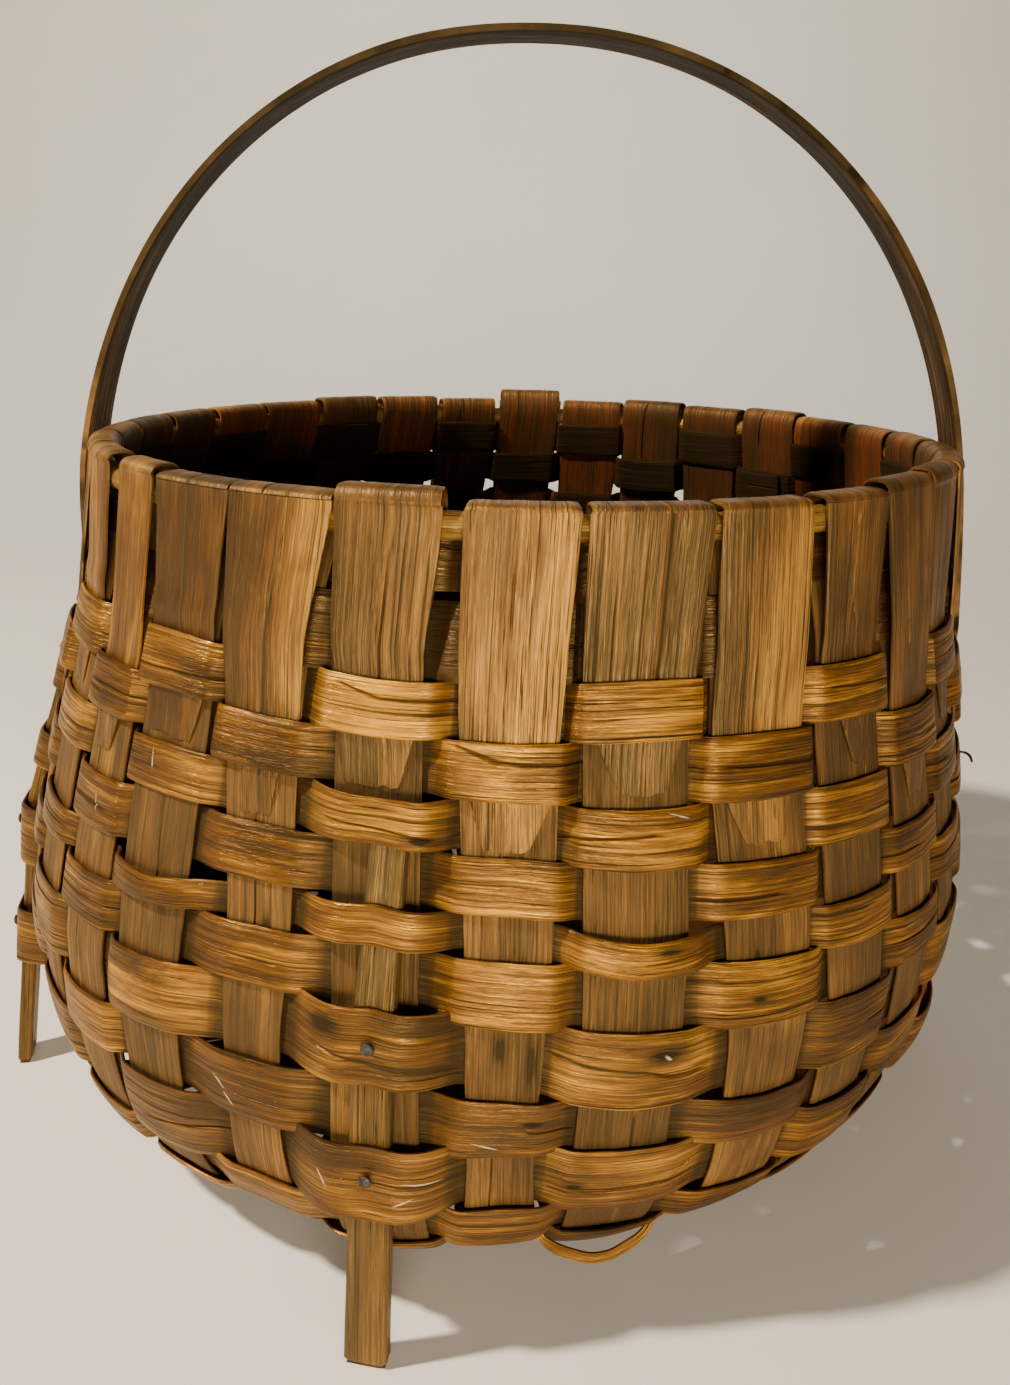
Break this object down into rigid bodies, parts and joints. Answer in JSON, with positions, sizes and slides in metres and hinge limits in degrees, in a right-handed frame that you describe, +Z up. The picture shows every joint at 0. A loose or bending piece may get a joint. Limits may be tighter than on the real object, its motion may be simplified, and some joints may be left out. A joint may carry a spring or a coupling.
{
  "type": "splint basket",
  "caption": "Round woven splint basket with a swelling belly, splints folded over a round rim rod, stick legs nailed to the weave and a bent hoop handle.",
  "frame": {"origin": "middle of the bounding box, on the floor plane under the feet", "axes": "+Z up to the top of the hoop, -Y to the side that faces the viewer in the picture, +X to that viewer's right"},
  "size_m": [0.3644, 0.3562, 0.369],
  "materials": {
    "splint_long_1": "varnished ash splint, honey brown",
    "splint_long_2": "varnished ash splint, honey brown",
    "splint_long_3": "varnished ash splint, honey brown",
    "splint_long_4": "varnished ash splint, honey brown",
    "splint_long_5": "varnished ash splint, honey brown",
    "splint_long_6": "varnished ash splint, honey brown",
    "splint_long_7": "varnished ash splint, honey brown",
    "splint_cross_1": "varnished ash splint, honey brown",
    "splint_cross_2": "varnished ash splint, honey brown",
    "splint_cross_3": "varnished ash splint, honey brown",
    "splint_cross_4": "varnished ash splint, honey brown",
    "splint_cross_5": "varnished ash splint, honey brown",
    "splint_cross_6": "varnished ash splint, honey brown",
    "splint_cross_7": "varnished ash splint, honey brown",
    "splint_cross_8": "varnished ash splint, honey brown",
    "weaver_01": "varnished ash splint, darker brown",
    "weaver_02": "varnished ash splint, darker brown",
    "weaver_03": "varnished ash splint, darker brown",
    "weaver_04": "varnished ash splint, darker brown",
    "weaver_05": "varnished ash splint, darker brown",
    "weaver_06": "varnished ash splint, darker brown",
    "weaver_07": "varnished ash splint, darker brown",
    "weaver_08": "varnished ash splint, darker brown",
    "weaver_09": "varnished ash splint, darker brown",
    "weaver_10": "varnished ash splint, darker brown",
    "weaver_11": "varnished ash splint, darker brown",
    "weaver_12": "varnished ash splint, darker brown",
    "weaver_13": "varnished ash splint, darker brown",
    "rim_rod": "peeled round rod, yellow brown",
    "handle": "bent hardwood strip, dark brown",
    "leg_front": "whittled stick, varnished",
    "leg_left": "whittled stick, varnished",
    "leg_right": "whittled stick, varnished",
    "leg_back": "whittled stick, varnished",
    "nail_front_09": "dull dark iron",
    "nail_front_11": "dull dark iron",
    "nail_left_09": "dull dark iron",
    "nail_left_11": "dull dark iron",
    "nail_right_10": "dull dark iron",
    "nail_back_10": "dull dark iron"
  },
  "bodies": {
    "root": {"splint_long_1": "splint_long_1", "splint_long_2": "splint_long_2", "splint_long_3": "splint_long_3", "splint_long_4": "splint_long_4", "splint_long_5": "splint_long_5", "splint_long_6": "splint_long_6", "splint_long_7": "splint_long_7", "splint_cross_1": "splint_cross_1", "splint_cross_2": "splint_cross_2", "splint_cross_3": "splint_cross_3", "splint_cross_4": "splint_cross_4", "splint_cross_5": "splint_cross_5", "splint_cross_6": "splint_cross_6", "splint_cross_7": "splint_cross_7", "splint_cross_8": "splint_cross_8", "weaver_01": "weaver_01", "weaver_02": "weaver_02", "weaver_03": "weaver_03", "weaver_04": "weaver_04", "weaver_05": "weaver_05", "weaver_06": "weaver_06", "weaver_07": "weaver_07", "weaver_08": "weaver_08", "weaver_09": "weaver_09", "weaver_10": "weaver_10", "weaver_11": "weaver_11", "weaver_12": "weaver_12", "weaver_13": "weaver_13", "rim_rod": "rim_rod", "handle": "handle", "leg_front": "leg_front", "leg_left": "leg_left", "leg_right": "leg_right", "leg_back": "leg_back", "nail_front_09": "nail_front_09", "nail_front_11": "nail_front_11", "nail_left_09": "nail_left_09", "nail_left_11": "nail_left_11", "nail_right_10": "nail_right_10", "nail_back_10": "nail_back_10"}
  },
  "joints": []
}
